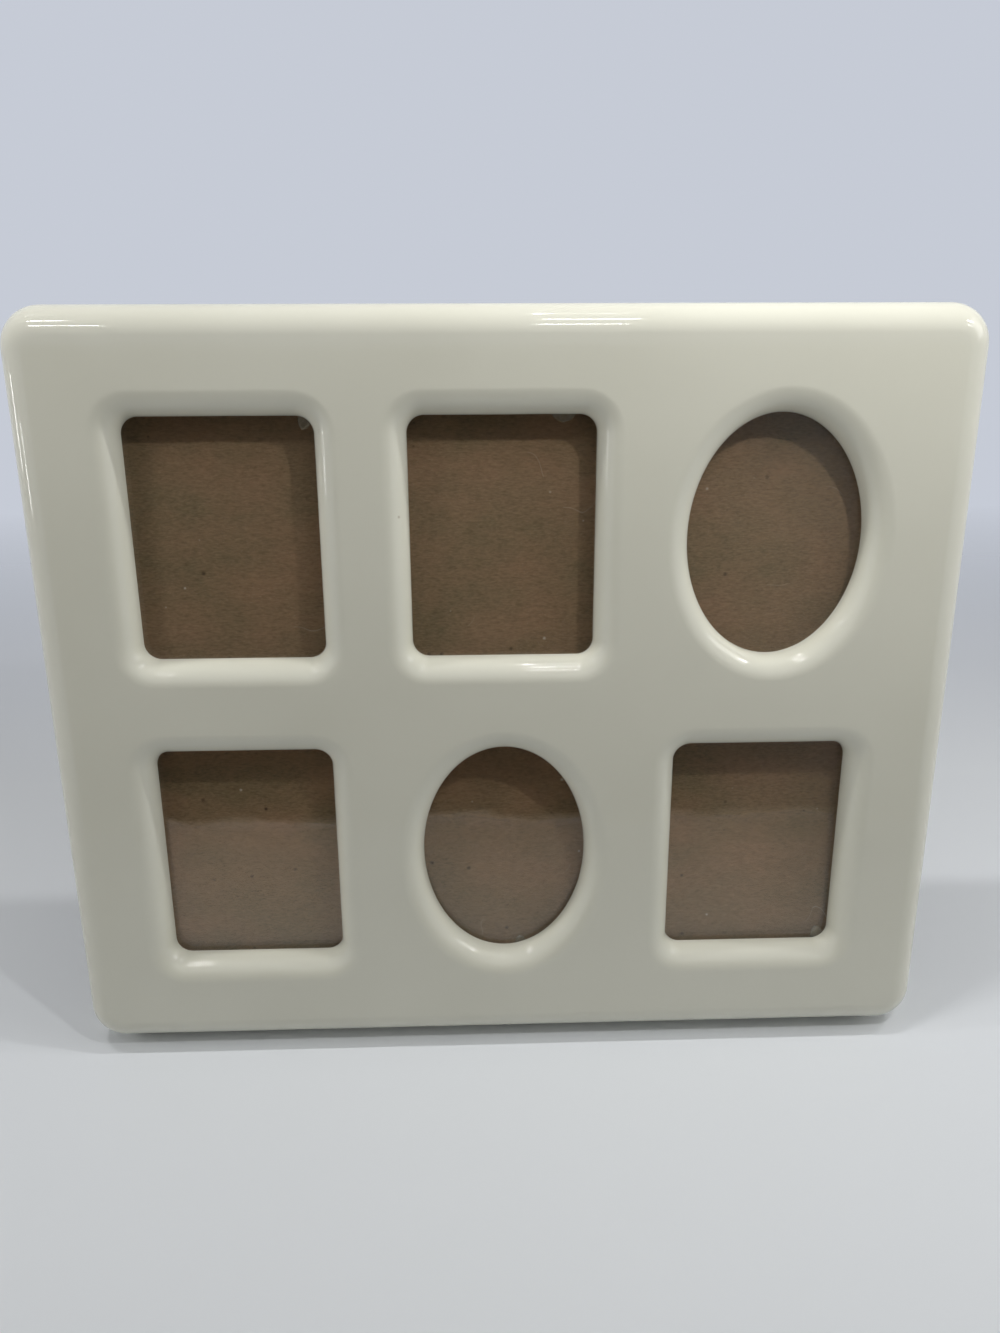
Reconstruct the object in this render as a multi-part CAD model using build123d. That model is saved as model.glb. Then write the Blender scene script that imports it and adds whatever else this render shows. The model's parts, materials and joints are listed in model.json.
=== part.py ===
from build123d import *
import os
from math import cos, radians, sin

# Collage photo frame: a glazed casting with six windows, which leans back on a hinged easel leg.
# Every piece is drawn upright about the middle of the front face, in millimetres: X runs to the right,
# Y from the face towards the back and Z up. The whole is then leaned back and set down on the floor,
# with the origin at floor level under the middle of its footprint.

# Windows
window_width = 60.0
window_height = 77.75
window_corner = 5.5
top_oval_width = 57.6
top_oval_height = 78.4
bottom_oval_width = 56.6
bottom_oval_height = 77.5
column_pitch = 88.75
row_pitch = 109.75
window_roundover = 8.0
window_lip = 0.5

# Casting
side_margin = 32.75
end_margin = 32.75
corner_radius = 13.0
edge_roundover = 9.5
back_edge_radius = 1.5
rim_width = 9.0

# Panes and the glue that holds them
pane_thickness = 2.0
pane_side_overlap = 3.0
pane_end_overlap = 5.75
pane_clearance = 0.5
pocket_depth = 5.5
pocket_corner = 3.0
glue_length = 9.0
glue_spread = 2.5
glue_rise = 2.0
glue_offset = 19.0

# Boards and their flocked facings
board_thickness = 2.0
panel_thickness = 2.4
velour_thickness = 0.6
panel_clearance = 0.75
panel_corner = 4.0
ring_width = 17.0
ring_clearance = 0.5

# Turn-buttons
button_reach = 18.0
button_width = 9.0
button_tip_width = 7.0
button_thickness = 0.9
button_bend = 13.5
button_tip_rise = 1.8
button_gap = 0.1
button_spacing = 150.0

# Rivets
rivet_radius = 1.5
rivet_head_radius = 3.0
rivet_head_height = 1.2
rivet_fit = 0.05
hanger_rivet_radius = 1.0
hanger_rivet_head_radius = 2.0
hanger_rivet_head_height = 0.8

# Easel hinge
hinge_height = 165.0
hinge_width = 36.0
leaf_thickness = 0.8
leaf_corner = 4.0
leaf_top_gap = 3.2
panel_leaf_length = 22.0
leg_leaf_length = 24.0
knuckle_radius = 2.0
knuckle_clearance = 0.4
centre_knuckle_length = 12.0
knuckle_end_gap = 0.3
pin_radius = 1.2
pin_fit = 0.05
pin_head_radius = 1.8
pin_head_length = 0.8
leaf_rivet_spacing = 22.0
leaf_rivet_inset = 8.0
stop_gap = 0.05

# Easel leg
leg_thickness = 2.0
leg_top_width = 44.0
leg_foot_width = 84.0
leg_corner = 6.0
fold_gap = 0.4
lean_angle = 15.0
opening_angle = 28.0

# Sawtooth hanger
hanger_length = 46.0
hanger_height = 9.5
hanger_thickness = 0.8
hanger_corner = 2.0
hanger_rise = 1.8
hanger_foot = 8.0
hanger_ramp = 3.0
tooth_count = 7
tooth_pitch = 3.0
tooth_depth = 1.8

# Sizes that follow from those above
frame_width = 2 * column_pitch + window_width + 2 * side_margin
frame_height = row_pitch + window_height + 2 * end_margin
pane_front = window_roundover + window_lip
pane_back = pane_front + pane_thickness
recess_floor = pane_front + pocket_depth
panel_front = recess_floor + board_thickness
velour_front = panel_front + panel_thickness
depth = velour_front + velour_thickness
recess_width = frame_width - 2 * rim_width
recess_height = frame_height - 2 * rim_width
recess_corner = max(corner_radius - rim_width, rim_width / 2)
ring_outer_width = recess_width - 2 * ring_clearance
ring_outer_height = recess_height - 2 * ring_clearance
ring_inner_width = ring_outer_width - 2 * ring_width
ring_inner_height = ring_outer_height - 2 * ring_width
ring_corner = recess_corner - ring_clearance
panel_width = ring_inner_width - 2 * panel_clearance
panel_height = ring_inner_height - 2 * panel_clearance
pane_width = window_width + 2 * pane_side_overlap
pane_height = window_height + 2 * pane_end_overlap
pocket_width = pane_width + 2 * pane_clearance
pocket_height = pane_height + 2 * pane_clearance
ring_middle_x = (ring_outer_width - ring_width) / 2
ring_middle_z = (ring_outer_height - ring_width) / 2
button_face = depth + button_gap + button_thickness
axis_y = depth + knuckle_clearance + knuckle_radius
axis_z = hinge_height - frame_height / 2
leg_front = depth + fold_gap
leg_back = leg_front + leg_thickness + 2 * velour_thickness
leg_top = axis_z - leaf_top_gap
leg_leaf_back = leg_back + leaf_thickness
panel_rivet_z = axis_z + panel_leaf_length - leaf_rivet_inset
leg_rivet_z = leg_top - leg_leaf_length + leaf_rivet_inset
lean = radians(lean_angle)
opening = radians(opening_angle)
foot_tilt = opening - lean
edge_drop = back_edge_radius * (sin(lean) + cos(lean) - 1)
pivot_rise = hinge_height * cos(lean) - (axis_y - depth) * sin(lean) - edge_drop

# Where each window stands on the face, and the sizes of the two that are oval
window_places = {
    "top_left": (-column_pitch, row_pitch / 2),
    "top_middle": (0, row_pitch / 2),
    "top_right": (column_pitch, row_pitch / 2),
    "bottom_left": (-column_pitch, -row_pitch / 2),
    "bottom_middle": (0, -row_pitch / 2),
    "bottom_right": (column_pitch, -row_pitch / 2),
}
oval_sizes = {
    "top_right": (top_oval_width, top_oval_height),
    "bottom_middle": (bottom_oval_width, bottom_oval_height),
}

# Where each turn-button's rivet stands, and the way its arm points: 0 is up, 90 is to the right
button_places = {
    "top_left": (-button_spacing / 2, ring_middle_z, 180),
    "top_right": (button_spacing / 2, ring_middle_z, 180),
    "left": (-ring_middle_x, 0, 90),
    "right": (ring_middle_x, 0, -90),
    "bottom_left": (-button_spacing / 2, -ring_middle_z, 0),
    "bottom_right": (button_spacing / 2, -ring_middle_z, 0),
}

button_rivet_points = [(x, z) for x, z, turn in button_places.values()]
hanger_rivet_x = (hanger_length - hanger_foot) / 2
hanger_rivet_points = [(-hanger_rivet_x, ring_middle_z), (hanger_rivet_x, ring_middle_z)]
panel_rivet_points = [(x, panel_rivet_z) for x in (-leaf_rivet_spacing / 2, leaf_rivet_spacing / 2)]
leg_rivet_points = [(x, leg_rivet_z) for x in (-leaf_rivet_spacing / 2, leaf_rivet_spacing / 2)]


def slab(sketch, front, back):
    """A face-on sketch given thickness, from depth front to depth back."""
    return extrude(Plane.XZ.offset(-front) * sketch, amount=front - back)


def holes(points, radius, front, back):
    """Round holes through the depth, one at each face-on point."""
    return slab(Sketch() + [Pos(x, z) * Circle(radius) for x, z in points], front, back)


def side_profile(points, width):
    """A closed outline of (depth, height) points, widened evenly to both sides of the middle."""
    face = make_face(Polyline(*[(0, y, z) for y, z in points], close=True))
    return extrude(face, amount=width / 2, dir=(1, 0, 0), both=True)


def lengthwise_rod(radius, start, end):
    """A round rod along X on the hinge axis."""
    middle = (start + end) / 2
    return Pos(middle, axis_y, axis_z) * Rot(Y=90) * Cylinder(radius, end - start)


def rivet(x, z, radius, head_radius, head_height, tail, seat):
    """A domed rivet: its shank starts at depth tail, and its head sits at depth seat."""
    dome_radius = (head_radius**2 + head_height**2) / (2 * head_height)
    outline = Polyline((0, tail - seat), (radius, tail - seat), (radius, 0), (head_radius, 0))
    dome = RadiusArc((head_radius, 0), (0, head_height), -dome_radius)
    axis_line = Line((0, head_height), (0, tail - seat))
    turned = revolve(Plane.XZ * make_face(outline + dome + axis_line), Axis.Z)
    return Pos(x, seat, z) * Rot(X=-90) * turned


def make_ceramic_front():
    """The casting: rounded outside, windows with rounded edges, pane pockets and a recess behind."""
    body = slab(RectangleRounded(frame_width, frame_height, corner_radius), 0, depth)
    body = fillet(body.faces().sort_by(Axis.Y)[0].edges(), edge_roundover)
    body = fillet(body.faces().sort_by(Axis.Y)[-1].edges(), back_edge_radius)
    for name, (x, z) in window_places.items():
        outline = RectangleRounded(window_width, window_height, window_corner)
        if name in oval_sizes:
            width, height = oval_sizes[name]
            outline = Ellipse(width / 2, height / 2)
        body -= slab(Pos(x, z) * outline, 0, recess_floor)
        pocket = RectangleRounded(pocket_width, pocket_height, pocket_corner)
        body -= slab(Pos(x, z) * pocket, pane_front, recess_floor)
    face = body.faces().sort_by(Axis.Y)[0]
    mouths = [edge for wire in face.inner_wires() for edge in wire.edges()]
    body = fillet(mouths, window_roundover)
    return body - slab(RectangleRounded(recess_width, recess_height, recess_corner), recess_floor, depth)


def make_pane(x, z):
    """A glass pane, its corners clipped to clear the rounded corners of the pocket."""
    outline = Rectangle(pane_width, pane_height)
    outline = chamfer(outline.vertices(), pocket_corner - pane_clearance)
    return slab(Pos(x, z) * outline, pane_front, pane_back)


def make_glue_dabs():
    """Wedges of set glue between the back of each pane and the ends of its pocket, four to a pane."""
    wall = pocket_height / 2
    outline = [(pane_back, wall), (pane_back, wall - glue_spread), (pane_back + glue_rise, wall)]
    upper = side_profile(outline, glue_length)
    lower = mirror(upper, Plane.XY)
    dabs = []
    for x, z in window_places.values():
        for side in (-glue_offset, glue_offset):
            dabs += [Pos(x + side, 0, z) * upper, Pos(x + side, 0, z) * lower]
    return Compound(dabs)


def make_board(front, back):
    return slab(RectangleRounded(panel_width, panel_height, panel_corner), front, back)


def make_ring(front, back):
    """The surround, or its facing, with the holes for the rivets that it carries."""
    ring = RectangleRounded(ring_outer_width, ring_outer_height, ring_corner)
    ring -= RectangleRounded(ring_inner_width, ring_inner_height, panel_corner)
    ring = slab(ring, front, back)
    ring -= holes(button_rivet_points, rivet_radius + rivet_fit, front, back)
    return ring - holes(hanger_rivet_points, hanger_rivet_radius + rivet_fit, front, back)


def make_panel_layer(front, back):
    """The back panel, or its facing, with the holes for the hinge's rivets."""
    return make_board(front, back) - holes(panel_rivet_points, rivet_radius + rivet_fit, front, back)


def make_turn_button(x, z, turn):
    """A swivelling tab, rounded at the rivet, with a finger tip that is bent up off the panel."""
    tip_radius = button_tip_width / 2
    tip_centre = Pos(0, button_reach - tip_radius)
    outline = make_hull((Circle(button_width / 2) + tip_centre * Circle(tip_radius)).edges())
    outline -= Circle(rivet_radius + rivet_fit)
    low = depth + button_gap
    bent = [(low, -button_width), (low, button_bend), (low + button_tip_rise, button_reach)]
    bent += [(y + button_thickness, height) for y, height in reversed(bent)]
    tab = slab(outline, low, low + button_tip_rise + button_thickness)
    tab &= side_profile(bent, 2 * button_width)
    return Pos(x, 0, z) * Rot(Y=turn) * tab


def make_panel_leaf():
    """The hinge leaf on the back panel: a plate with a knuckle at each side, open for the middle one."""
    plate = Pos(0, axis_z + panel_leaf_length / 2) * Rectangle(hinge_width, panel_leaf_length)
    plate = fillet(plate.vertices().group_by(Axis.Y)[-1], leaf_corner)
    notch_width = centre_knuckle_length + 2 * knuckle_end_gap
    notch = Pos(0, axis_z) * Rectangle(notch_width, 2 * (knuckle_radius + knuckle_clearance))
    leaf = slab(plate, depth, depth + leaf_thickness)
    leaf += lengthwise_rod(knuckle_radius, -hinge_width / 2, hinge_width / 2)
    root = Pos(0, axis_z + knuckle_radius / 2) * Rectangle(hinge_width, knuckle_radius)
    leaf += slab(root, depth, axis_y)
    leaf -= slab(notch, depth, axis_y + knuckle_radius)
    leaf -= lengthwise_rod(pin_radius + pin_fit, -hinge_width / 2, hinge_width / 2)
    return leaf - holes(panel_rivet_points, rivet_radius + rivet_fit, depth, depth + leaf_thickness)


def make_leg_leaf():
    """The hinge leaf on the leg, drawn folded: a plate, the middle knuckle and the stop tab above it."""
    plate = Pos(0, leg_top - leg_leaf_length / 2) * Rectangle(hinge_width, leg_leaf_length)
    plate = fillet(plate.vertices().group_by(Axis.Y)[0], leaf_corner)
    stop_distance = axis_y - depth - leaf_thickness
    tab_length = ((leg_leaf_back - axis_y) * cos(opening) + stop_distance) / sin(opening)
    strap_length = leaf_top_gap + tab_length
    strap = Pos(0, leg_top + strap_length / 2) * Rectangle(centre_knuckle_length, strap_length)
    leaf = slab(plate + strap, leg_back, leg_leaf_back)
    leaf += lengthwise_rod(knuckle_radius, -centre_knuckle_length / 2, centre_knuckle_length / 2)
    root = Pos(0, axis_z - knuckle_radius / 2) * Rectangle(centre_knuckle_length, knuckle_radius)
    leaf += slab(root, axis_y, leg_leaf_back)
    leaf -= lengthwise_rod(pin_radius + pin_fit, -centre_knuckle_length / 2, centre_knuckle_length / 2)
    return leaf - holes(leg_rivet_points, rivet_radius + rivet_fit, leg_back, leg_leaf_back)


def trim_stop(leaf):
    """The opened leg leaf, with its tab cut to end on the face of the panel leaf."""
    reach = panel_leaf_length
    stop_face = depth + leaf_thickness + stop_gap
    wall = Pos(0, stop_face - reach / 2, axis_z + knuckle_radius + knuckle_clearance + reach / 2)
    return leaf - wall * Box(hinge_width, reach, reach)


def make_hinge_pin():
    """The pin, with a peened head at each end."""
    end = hinge_width / 2 + knuckle_end_gap
    pin = lengthwise_rod(pin_radius, -end, end)
    pin += lengthwise_rod(pin_head_radius, end, end + pin_head_length)
    return pin + lengthwise_rod(pin_head_radius, -end - pin_head_length, -end)


def make_leg_layer(front, back):
    """The leg's board, or one of its facings, drawn folded and a little long at the foot."""
    run = (pivot_rise + knuckle_radius * abs(sin(foot_tilt))) / cos(foot_tilt)
    foot = axis_z - run
    outline = make_face(Polyline(
        (-leg_top_width / 2, leg_top),
        (leg_top_width / 2, leg_top),
        (leg_foot_width / 2, foot),
        (-leg_foot_width / 2, foot),
        close=True,
    ))
    outline = fillet(outline.vertices(), leg_corner)
    return slab(outline, front, back) - holes(leg_rivet_points, rivet_radius + rivet_fit, front, back)


def make_hanger():
    """A toothed strip whose ends lie on the surround and whose middle stands off for a nail head."""
    end = hanger_length / 2
    ramp_foot = end - hanger_foot
    ramp_top = ramp_foot - hanger_ramp
    low = [(-end, 0), (-ramp_foot, 0), (-ramp_top, hanger_rise)]
    low += [(-x, y) for x, y in reversed(low)]
    outline = low + [(x, y + hanger_thickness) for x, y in reversed(low)]
    strip = extrude(make_face(Polyline(*outline, close=True)), amount=hanger_height / 2, both=True)
    back = hanger_rise + hanger_thickness
    strip &= slab(RectangleRounded(hanger_length, hanger_height, hanger_corner), 0, back)
    lower_edge = -hanger_height / 2
    for step in range(tooth_count):
        x = (step - (tooth_count - 1) / 2) * tooth_pitch
        corners = [(x - tooth_pitch / 2, lower_edge), (x, lower_edge + tooth_depth)]
        corners += [(x + tooth_pitch / 2, lower_edge)]
        strip -= slab(make_face(Polyline(*corners, close=True)), 0, back)
    strip = Pos(0, depth, ring_middle_z) * strip
    foot_back = depth + hanger_thickness
    return strip - holes(hanger_rivet_points, hanger_rivet_radius + rivet_fit, depth, foot_back)


def make_rivets(points, tail, seat):
    shape = (rivet_radius, rivet_head_radius, rivet_head_height)
    return Compound([rivet(x, z, *shape, tail, seat) for x, z in points])


def make_hanger_rivets():
    shape = (hanger_rivet_radius, hanger_rivet_head_radius, hanger_rivet_head_height)
    seat = depth + hanger_thickness
    return Compound([rivet(x, z, *shape, recess_floor, seat) for x, z in hanger_rivet_points])


# Pieces of the frame itself, and the turn-buttons on it
pieces = {"ceramic_front": make_ceramic_front()}
for name, (x, z) in window_places.items():
    pieces["glass_pane_" + name] = make_pane(x, z)
pieces["pane_glue_dabs"] = make_glue_dabs()
pieces["backing_board"] = make_board(recess_floor, panel_front)
pieces["back_panel"] = make_panel_layer(panel_front, velour_front)
pieces["panel_velour"] = make_panel_layer(velour_front, depth)
pieces["rear_ring"] = make_ring(recess_floor, velour_front)
pieces["ring_velour"] = make_ring(velour_front, depth)
for name, (x, z, turn) in button_places.items():
    pieces["turn_button_" + name] = make_turn_button(x, z, turn)
pieces["turn_button_rivets"] = make_rivets(button_rivet_points, recess_floor, button_face + button_gap)
pieces["sawtooth_hanger"] = make_hanger()
pieces["hanger_rivets"] = make_hanger_rivets()
pieces["hinge_panel_leaf"] = make_panel_leaf()
pieces["hinge_pin"] = make_hinge_pin()
pieces["panel_leaf_rivets"] = make_rivets(panel_rivet_points, panel_front, depth + leaf_thickness)

# Pieces of the leg, drawn folded, then swung open on the hinge
swing_open = Pos(0, axis_y, axis_z) * Rot(X=opening_angle) * Pos(0, -axis_y, -axis_z)
board_front = leg_front + velour_thickness
board_back = leg_back - velour_thickness
leg_pieces = {
    "easel_leg": make_leg_layer(board_front, board_back),
    "leg_velour": Compound([make_leg_layer(leg_front, board_front), make_leg_layer(board_back, leg_back)]),
    "hinge_leg_leaf": make_leg_leaf(),
    "leg_leaf_rivets": make_rivets(leg_rivet_points, leg_front, leg_leaf_back),
}
leg_pieces = {name: swing_open * piece for name, piece in leg_pieces.items()}
leg_pieces["hinge_leg_leaf"] = trim_stop(leg_pieces["hinge_leg_leaf"])

# The whole is leaned back on its rear bottom edge, and the leg's foot is cut level with the floor
stand = Pos(0, 0, -edge_drop) * Rot(X=-lean_angle) * Pos(0, -depth, frame_height / 2)
stood = {name: stand * piece for name, piece in (pieces | leg_pieces).items()}
ground = Pos(0, 0, -hinge_height) * Box(2 * leg_foot_width, 4 * hinge_height, 2 * hinge_height)
stood["easel_leg"] -= ground
stood["leg_velour"] = Compound([facing - ground for facing in stood["leg_velour"].solids()])

# The origin goes under the middle of the footprint
front_edge = stood["ceramic_front"].bounding_box().min.Y
rear_edge = stood["leg_velour"].bounding_box().max.Y
centre = Pos(0, -(front_edge + rear_edge) / 2, 0)
os.makedirs("parts", exist_ok=True)
for name, piece in stood.items():
    export_step(centre * piece, f"parts/{name}.step")
print(f"{len(stood)} nodes, {frame_width:.1f} x {frame_height:.1f} x {depth:.1f} mm")
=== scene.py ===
# %% [markdown]
# A collage photo frame, from casting to easel
#
# The object is a table frame for six small prints: one glossy cream casting with four rectangular windows
# and two oval ones, glass and brown board behind them, and a flocked back with a hinged leg.
# Its measured model comes in first and stays fixed. Each lesson cell then gives one piece its finish, or
# lays a finer piece over a measured one.

# %% Load the measured frame
import json
import math
import random

import bmesh
import bpy
from mathutils import Matrix, Vector


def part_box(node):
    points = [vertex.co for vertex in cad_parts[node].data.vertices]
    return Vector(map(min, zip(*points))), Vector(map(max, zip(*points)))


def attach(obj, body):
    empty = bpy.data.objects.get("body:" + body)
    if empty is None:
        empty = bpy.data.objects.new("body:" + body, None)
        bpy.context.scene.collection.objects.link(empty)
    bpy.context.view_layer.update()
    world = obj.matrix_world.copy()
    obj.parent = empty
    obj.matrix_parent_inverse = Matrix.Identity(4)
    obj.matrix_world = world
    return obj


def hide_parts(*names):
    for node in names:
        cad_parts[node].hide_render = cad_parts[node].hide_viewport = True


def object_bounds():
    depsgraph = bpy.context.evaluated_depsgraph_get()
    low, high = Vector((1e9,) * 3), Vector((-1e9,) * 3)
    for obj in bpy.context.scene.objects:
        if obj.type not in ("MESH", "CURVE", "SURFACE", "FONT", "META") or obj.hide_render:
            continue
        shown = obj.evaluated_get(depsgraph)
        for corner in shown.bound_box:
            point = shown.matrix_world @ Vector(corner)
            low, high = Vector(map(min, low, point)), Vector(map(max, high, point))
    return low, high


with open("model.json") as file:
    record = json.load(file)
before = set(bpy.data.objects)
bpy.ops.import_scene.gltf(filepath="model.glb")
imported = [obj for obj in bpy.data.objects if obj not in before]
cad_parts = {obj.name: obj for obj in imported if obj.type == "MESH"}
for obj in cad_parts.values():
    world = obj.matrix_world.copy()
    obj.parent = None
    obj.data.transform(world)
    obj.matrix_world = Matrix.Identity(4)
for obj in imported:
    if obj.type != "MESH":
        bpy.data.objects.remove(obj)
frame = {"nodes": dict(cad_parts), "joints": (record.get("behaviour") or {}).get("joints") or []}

cad_low, cad_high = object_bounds()
scene = bpy.context.scene
scene.view_settings.view_transform = "Standard"
mm = 0.001

# %% [markdown]
# The leaning face
#
# The real frame leans back on its leg, which makes every slope awkward to draw. It is easier to draw as if
# it stood upright: x to the right, y from the face towards the back, z up, all from the middle of the face.
# One matrix then lays the drawing on the leaning frame. Two of the turn-button pivots give it: they lie
# level on the back of the frame, and their axis is the frame's own back-to-front line.

# %% A matrix from the upright drawing to the leaning frame
casting_depth = 19 * mm
pivots = {joint["child"]: joint for joint in frame["joints"]}
button_joints = [joint for child, joint in pivots.items() if child.startswith("turn_button")]
left_pivot = Vector(pivots["turn_button_left"]["pos_m"])
right_pivot = Vector(pivots["turn_button_right"]["pos_m"])
rightwards = (right_pivot - left_pivot).normalized()
backwards = Vector(pivots["turn_button_left"]["axis"]).normalized()
upwards = rightwards.cross(backwards)
face_middle = (left_pivot + right_pivot) / 2 - backwards * casting_depth
upright = Matrix((rightwards, backwards, upwards)).transposed().to_4x4()
upright.translation = face_middle
lean = math.degrees(math.asin(upwards.y))
print(f"the face leans back {lean:.1f} degrees, its middle is {face_middle.z / mm:.0f} mm up")

# %% [markdown]
# Camera
#
# A camera can be placed by eye, or worked out from the photograph. Here it was worked out: the straight
# window edges fix where the lens stood and how far it looked down. The lens is wide, as on a phone, and
# stands close, which is why the frame narrows so much towards its foot.

# %% Camera at the photograph's viewing angle
photo_height_pixels = 1333
focal_length_pixels = 924
sensor_width = 36
nearest_seen = 10 * mm
camera_place = Vector((-9.7, -276.1, 293.3)) * mm
camera_pitch = 30.35
camera_yaw = 1.84
camera_roll = 0.16
portrait_lens = bpy.data.cameras.new("portrait_camera")
portrait_lens.sensor_width = sensor_width
portrait_lens.lens = sensor_width * focal_length_pixels / photo_height_pixels
portrait_lens.clip_start = nearest_seen
portrait_camera = bpy.data.objects.new("portrait_camera", portrait_lens)
scene.collection.objects.link(portrait_camera)
portrait_camera.matrix_world = (
    Matrix.Translation(camera_place)
    @ Matrix.Rotation(math.radians(-camera_yaw), 4, "Z")
    @ Matrix.Rotation(math.radians(90 - camera_pitch), 4, "X")
    @ Matrix.Rotation(math.radians(camera_roll), 4, "Z")
)
scene.camera = portrait_camera
print(f"camera with a {portrait_lens.lens:.1f} mm lens, {camera_place.length / mm:.0f} mm from the origin")

# %% [markdown]
# Nodes without the noise
#
# A material is a tree of nodes, and wiring each by hand makes long code. A few small helpers keep it short:
# one adds a node and fills its sockets by name, two do sums, one mixes two colours and one carries a value
# from one range to another. A value that is itself a socket is linked instead of copied.

# %% Helpers that add and fill nodes
def put(tree, socket, value):
    """Sets a socket to a value, or links it when the value is another node's output."""
    if isinstance(value, bpy.types.NodeSocket):
        tree.links.new(value, socket)
    else:
        socket.default_value = value


def add_node(tree, kind, **sockets):
    """A new node; From_Min=0.2 sets its socket From Min."""
    made = tree.nodes.new(kind)
    for name, value in sockets.items():
        put(tree, made.inputs[name.replace("_", " ")], value)
    return made


def add_sum(tree, operation, first, second=0.0, kind="ShaderNodeMath", result=0):
    made = tree.nodes.new(kind)
    made.operation = operation
    put(tree, made.inputs[0], first)
    put(tree, made.inputs[1], second)
    return made.outputs[result]


def add_vector_sum(tree, operation, first, second, result):
    """A sum of two vectors; its result is the socket Vector or the socket Value."""
    return add_sum(tree, operation, first, second, "ShaderNodeVectorMath", result)


print("node helpers are ready")

# %% Helpers for colours and ranges
# A mix node has sockets for numbers and vectors before those for colours
mix_factor = 0
mix_first_colour = 6
mix_second_colour = 7
mixed_colour = 2


def paint(red, green, blue):
    return (red, green, blue, 1.0)


def add_tint(tree, factor, first, second):
    """The colour first, turned to second where factor is 1."""
    made = tree.nodes.new("ShaderNodeMix")
    made.data_type = "RGBA"
    put(tree, made.inputs[mix_factor], factor)
    put(tree, made.inputs[mix_first_colour], first)
    put(tree, made.inputs[mix_second_colour], second)
    return made.outputs[mixed_colour]


def add_range(tree, value, low, high, to_low=0.0, to_high=1.0):
    """The value, carried from one range to another and held at its ends."""
    made = add_node(
        tree, "ShaderNodeMapRange", Value=value, From_Min=low, From_Max=high, To_Min=to_low, To_Max=to_high,
    )
    return made.outputs["Result"]


print("colour helpers are ready")

# %% [markdown]
# Studio
#
# The frame was photographed in a small white light tent: pale walls all round, a few bright lamps in its
# roof, and a dark room in front. The world colour stands for the walls, and since the room gives little
# light, it is weaker from the front than from behind. A dark card in front, which only reflections see,
# stands for the room itself: without it the panes would mirror white and hide the board. Its right end is
# grey, like the wall of the tent. The floor is a plain pale sheet that fades into the walls, so no edge
# Where the panes mirror it, the floor carries a painted warm light and a faint painted glow. This painted
# reflection gives the lower panes their warm veil.

# %% World as the walls of the tent
front_light = paint(0.083, 0.083, 0.083)
back_light = paint(0.165, 0.165, 0.165)
front_to_back = (-0.4, 0.4)
tent_seen = paint(0.565, 0.598, 0.672)
before_a_bounce = 0.5

world = bpy.data.worlds.new("light_tent")
world.use_nodes = True
tree = world.node_tree
rays = add_node(tree, "ShaderNodeLightPath").outputs
in_view = add_sum(tree, "MAXIMUM", rays["Is Camera Ray"], rays["Is Glossy Ray"])
in_view = add_sum(tree, "MAXIMUM", in_view, rays["Is Transmission Ray"])
direct = add_sum(tree, "LESS_THAN", rays["Diffuse Depth"], before_a_bounce)
in_view = add_sum(tree, "MULTIPLY", in_view, direct)
towards = add_node(tree, "ShaderNodeTexCoord").outputs["Generated"]
depthwise = add_node(tree, "ShaderNodeSeparateXYZ", Vector=towards).outputs["Y"]
tent_light = add_tint(tree, add_range(tree, depthwise, *front_to_back), front_light, back_light)
put(tree, tree.nodes["Background"].inputs["Color"], add_tint(tree, in_view, tent_light, tent_seen))
scene.world = world
print(f"walls: light {front_light[0]} from the front and {back_light[0]} from behind")

# %% Helpers for stage sheets and materials
def add_sheet(name, corners):
    """A flat four-cornered stage sheet."""
    mesh = bpy.data.meshes.new(name)
    mesh.from_pydata(corners, [], [(0, 1, 2, 3)])
    made = bpy.data.objects.new(name, mesh)
    scene.collection.objects.link(made)
    return made


def new_material(name):
    """A material with an empty tree, and its output node."""
    material = bpy.data.materials.new(name)
    material.use_nodes = True
    material.node_tree.nodes.clear()
    return material, material.node_tree, material.node_tree.nodes.new("ShaderNodeOutputMaterial")


def add_blend(tree, output, factor, first, second):
    """The shader first, turned to second where factor is 1, joined to the output."""
    mixed = add_node(tree, "ShaderNodeMixShader", Fac=factor)
    tree.links.new(first.outputs[0], mixed.inputs[1])
    tree.links.new(second.outputs[0], mixed.inputs[2])
    tree.links.new(mixed.outputs[0], output.inputs["Surface"])


def stage_place(tree):
    """Where a point of a sheet lies, as the sockets X, Y and Z."""
    place = add_node(tree, "ShaderNodeNewGeometry").outputs["Position"]
    return add_node(tree, "ShaderNodeSeparateXYZ", Vector=place).outputs


print("stage helpers are ready")

# %% Floor that fades into the walls
floor_paint = paint(0.79, 0.815, 0.845)
# A painted warm light on the front of the floor, which only the panes' reflections show
floor_painted_warm_light = paint(0.96, 0.86, 0.69)
painted_warmth_front = (0.05, 0.11)
# A painted glow, with no lamp behind it: the front floor shines warm in the panes' reflections, more on the
# left
painted_floor_glow = paint(1.0, 0.74, 0.54)
painted_glow_side = (-0.2, 0.0)
painted_glow_share = (0.55, 0.2)
floor_half_width = 1.4
floor_front = -1.4
floor_back = 0.9
fade_back = (0.11, 0.5)
fade_front = (0.45, 0.62)
fade_side = (0.28, 0.6)

floor_corners = [
    (-floor_half_width, floor_front, 0), (floor_half_width, floor_front, 0),
    (floor_half_width, floor_back, 0), (-floor_half_width, floor_back, 0),
]
floor = add_sheet("studio_floor", floor_corners)
floor_material, tree, output = new_material("studio_floor")
apart = stage_place(tree)
behind = add_range(tree, apart["Y"], *fade_back)
forwards = add_sum(tree, "MULTIPLY", apart["Y"], -1.0)
before = add_range(tree, forwards, *fade_front)
beside = add_range(tree, add_sum(tree, "ABSOLUTE", apart["X"]), *fade_side)
faded = add_sum(tree, "MAXIMUM", behind, add_sum(tree, "MAXIMUM", before, beside))
mirrored = add_node(tree, "ShaderNodeLightPath").outputs["Is Transmission Ray"]
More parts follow.
